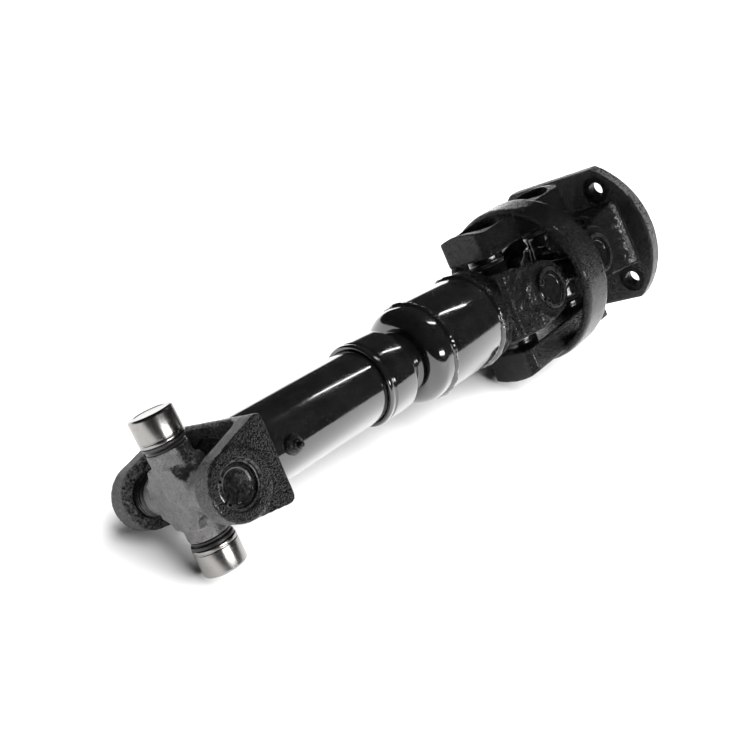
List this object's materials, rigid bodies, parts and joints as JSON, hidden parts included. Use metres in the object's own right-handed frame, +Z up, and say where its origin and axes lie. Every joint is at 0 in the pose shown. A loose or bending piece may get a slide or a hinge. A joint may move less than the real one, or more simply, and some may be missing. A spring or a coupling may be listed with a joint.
{
  "type": "universal joint shaft",
  "caption": "Short drive shaft with a bare universal joint cross on a sliding yoke at one end and a double-jointed constant-velocity coupling with a bolt flange at the other.",
  "frame": {"origin": "centre of the box round the whole shaft, on the surface it lies on", "axes": "+X along the shaft from the bare cross to the flange, +Z up as the shaft lies on its side"},
  "size_m": [0.4578, 0.1362, 0.1378],
  "materials": {
    "gloss_black": "smooth gloss black paint",
    "cast_black": "gloss black paint over rough forged or cast steel, with dry grey overspray on near edges",
    "raw_forging": "bare forged steel, matte grey",
    "machined_steel": "turned and ground bright steel",
    "seal_rubber": "matte black rubber",
    "spring_steel": "blackened spring steel"
  },
  "bodies": {
    "tube_shaft": {"spline_stub": "gloss_black", "drive_tube": "gloss_black", "weld_front": "gloss_black", "weld_rear": "gloss_black", "weld_yoke": "cast_black", "centring_ball_yoke": "cast_black", "joint_a_cup_left": "cast_black", "joint_a_seal_left": "seal_rubber", "joint_a_snap_ring_left": "spring_steel", "joint_a_cup_right": "cast_black", "joint_a_seal_right": "seal_rubber", "joint_a_snap_ring_right": "spring_steel"},
    "slip_yoke": {"slip_yoke": "cast_black", "slip_yoke_core_plug": "cast_black", "slip_dust_cap": "gloss_black", "slip_seal": "seal_rubber", "slip_grease_fitting": "cast_black", "near_cup_left": "cast_black", "near_seal_left": "seal_rubber", "near_needles_left": "machined_steel", "near_snap_ring_left": "spring_steel", "near_cup_right": "cast_black", "near_seal_right": "seal_rubber", "near_needles_right": "machined_steel", "near_snap_ring_right": "spring_steel"},
    "near_cross": {"near_cross": "raw_forging"},
    "near_cup_top": {"near_cup_top": "machined_steel", "near_seal_top": "seal_rubber", "near_needles_top": "machined_steel"},
    "near_cup_bottom": {"near_cup_bottom": "machined_steel", "near_seal_bottom": "seal_rubber", "near_needles_bottom": "machined_steel"},
    "cross_a": {"cross_a": "cast_black"},
    "centre_yoke": {"centre_yoke": "cast_black", "joint_a_cup_top": "cast_black", "joint_a_seal_top": "seal_rubber", "joint_a_snap_ring_top": "spring_steel", "joint_a_cup_bottom": "cast_black", "joint_a_seal_bottom": "seal_rubber", "joint_a_snap_ring_bottom": "spring_steel", "joint_b_cup_top": "cast_black", "joint_b_seal_top": "seal_rubber", "joint_b_snap_ring_top": "spring_steel", "joint_b_cup_bottom": "cast_black", "joint_b_seal_bottom": "seal_rubber", "joint_b_snap_ring_bottom": "spring_steel"},
    "cross_b": {"cross_b": "cast_black"},
    "flange_yoke": {"flange_yoke": "cast_black", "centring_socket_yoke": "cast_black", "centring_ball_spring": "spring_steel", "joint_b_cup_left": "cast_black", "joint_b_seal_left": "seal_rubber", "joint_b_snap_ring_left": "spring_steel", "joint_b_cup_right": "cast_black", "joint_b_seal_right": "seal_rubber", "joint_b_snap_ring_right": "spring_steel"}
  },
  "joints": [
    {"name": "slip_slide", "type": "slide", "parent": "tube_shaft", "child": "slip_yoke", "axis": [-0.9994, 0, -0.0349], "range_m": [-0.006, 0.05]},
    {"name": "near_cross_swing", "type": "hinge", "parent": "slip_yoke", "child": "near_cross", "pos_m": [-0.20751, -0.00403, 0.04872], "axis": [0.019, 0.8387, -0.5443], "range_deg": [-15, 20]},
    {"name": "near_cup_top_spin", "type": "hinge", "parent": "near_cross", "child": "near_cup_top", "pos_m": [-0.20751, -0.00403, 0.04872], "axis": [-0.0781, 0.544, 0.8355], "continuous": true},
    {"name": "near_cup_bottom_spin", "type": "hinge", "parent": "near_cross", "child": "near_cup_bottom", "pos_m": [-0.20751, -0.00403, 0.04872], "axis": [-0.0781, 0.544, 0.8355], "continuous": true},
    {"name": "joint_pitch_a", "type": "hinge", "parent": "tube_shaft", "child": "cross_a", "pos_m": [0.1035, -0.00403, 0.05958], "axis": [0.019, 0.8387, -0.5443], "range_deg": [-7, 12]},
    {"name": "joint_yaw_a", "type": "hinge", "parent": "cross_a", "child": "centre_yoke", "pos_m": [0.1035, -0.00403, 0.05958], "axis": [-0.0763, 0.544, 0.8356], "range_deg": [-10, 10]},
    {"name": "joint_yaw_b", "type": "hinge", "parent": "centre_yoke", "child": "cross_b", "pos_m": [0.17328, -0.00223, 0.06478], "axis": [-0.0763, 0.544, 0.8356], "range_deg": [-10, 10]},
    {"name": "joint_pitch_b", "type": "hinge", "parent": "cross_b", "child": "flange_yoke", "pos_m": [0.17328, -0.00223, 0.06478], "axis": [0.019, 0.8387, -0.5443], "range_deg": [-7, 12]}
  ],
  "couplings": [
    {"joint": "joint_yaw_b", "follows": "joint_yaw_a", "ratio": 1},
    {"joint": "joint_pitch_b", "follows": "joint_pitch_a", "ratio": 1}
  ]
}
